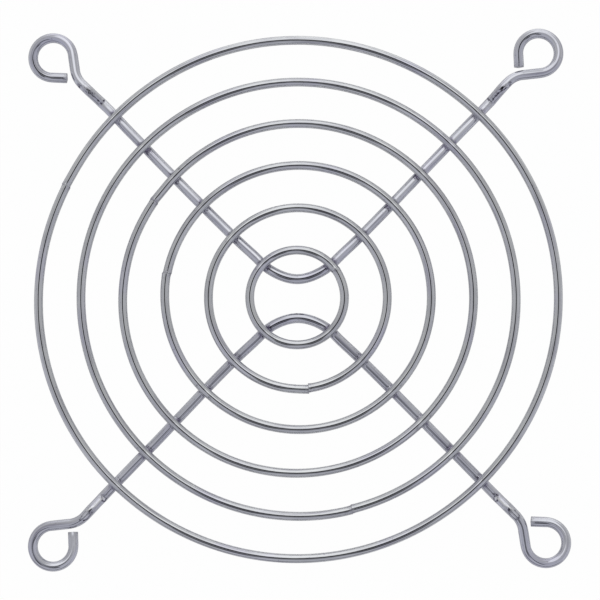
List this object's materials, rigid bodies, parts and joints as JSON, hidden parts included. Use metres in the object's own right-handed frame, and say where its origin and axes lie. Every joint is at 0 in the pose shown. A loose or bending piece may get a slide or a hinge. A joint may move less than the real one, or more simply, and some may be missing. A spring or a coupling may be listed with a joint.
{
  "type": "wire fan guard",
  "caption": "Round wire finger guard of concentric rings on two bent spoke wires, with a screw eye at each corner.",
  "frame": {"origin": "On the rings' axis, at the level of the ground that the spokes lie on.", "axes": "+Z runs along the rings' axis, from the spokes to the rings. X and Y run along the sides of the square of screw eyes; +Y points from the lower spoke to the upper one."},
  "size_m": [0.091, 0.091, 0.0032],
  "materials": {
    "ring_wire": "bright nickel-plated steel wire, with fine drawing marks",
    "spoke_wire": "bright nickel-plated steel wire, with tool marks at the bends"
  },
  "bodies": {
    "root": {"centre_ring": "ring_wire", "second_ring": "ring_wire", "third_ring": "ring_wire", "fourth_ring": "ring_wire", "fifth_ring": "ring_wire", "outer_ring": "ring_wire", "upper_spoke": "spoke_wire", "lower_spoke": "spoke_wire"}
  },
  "joints": []
}
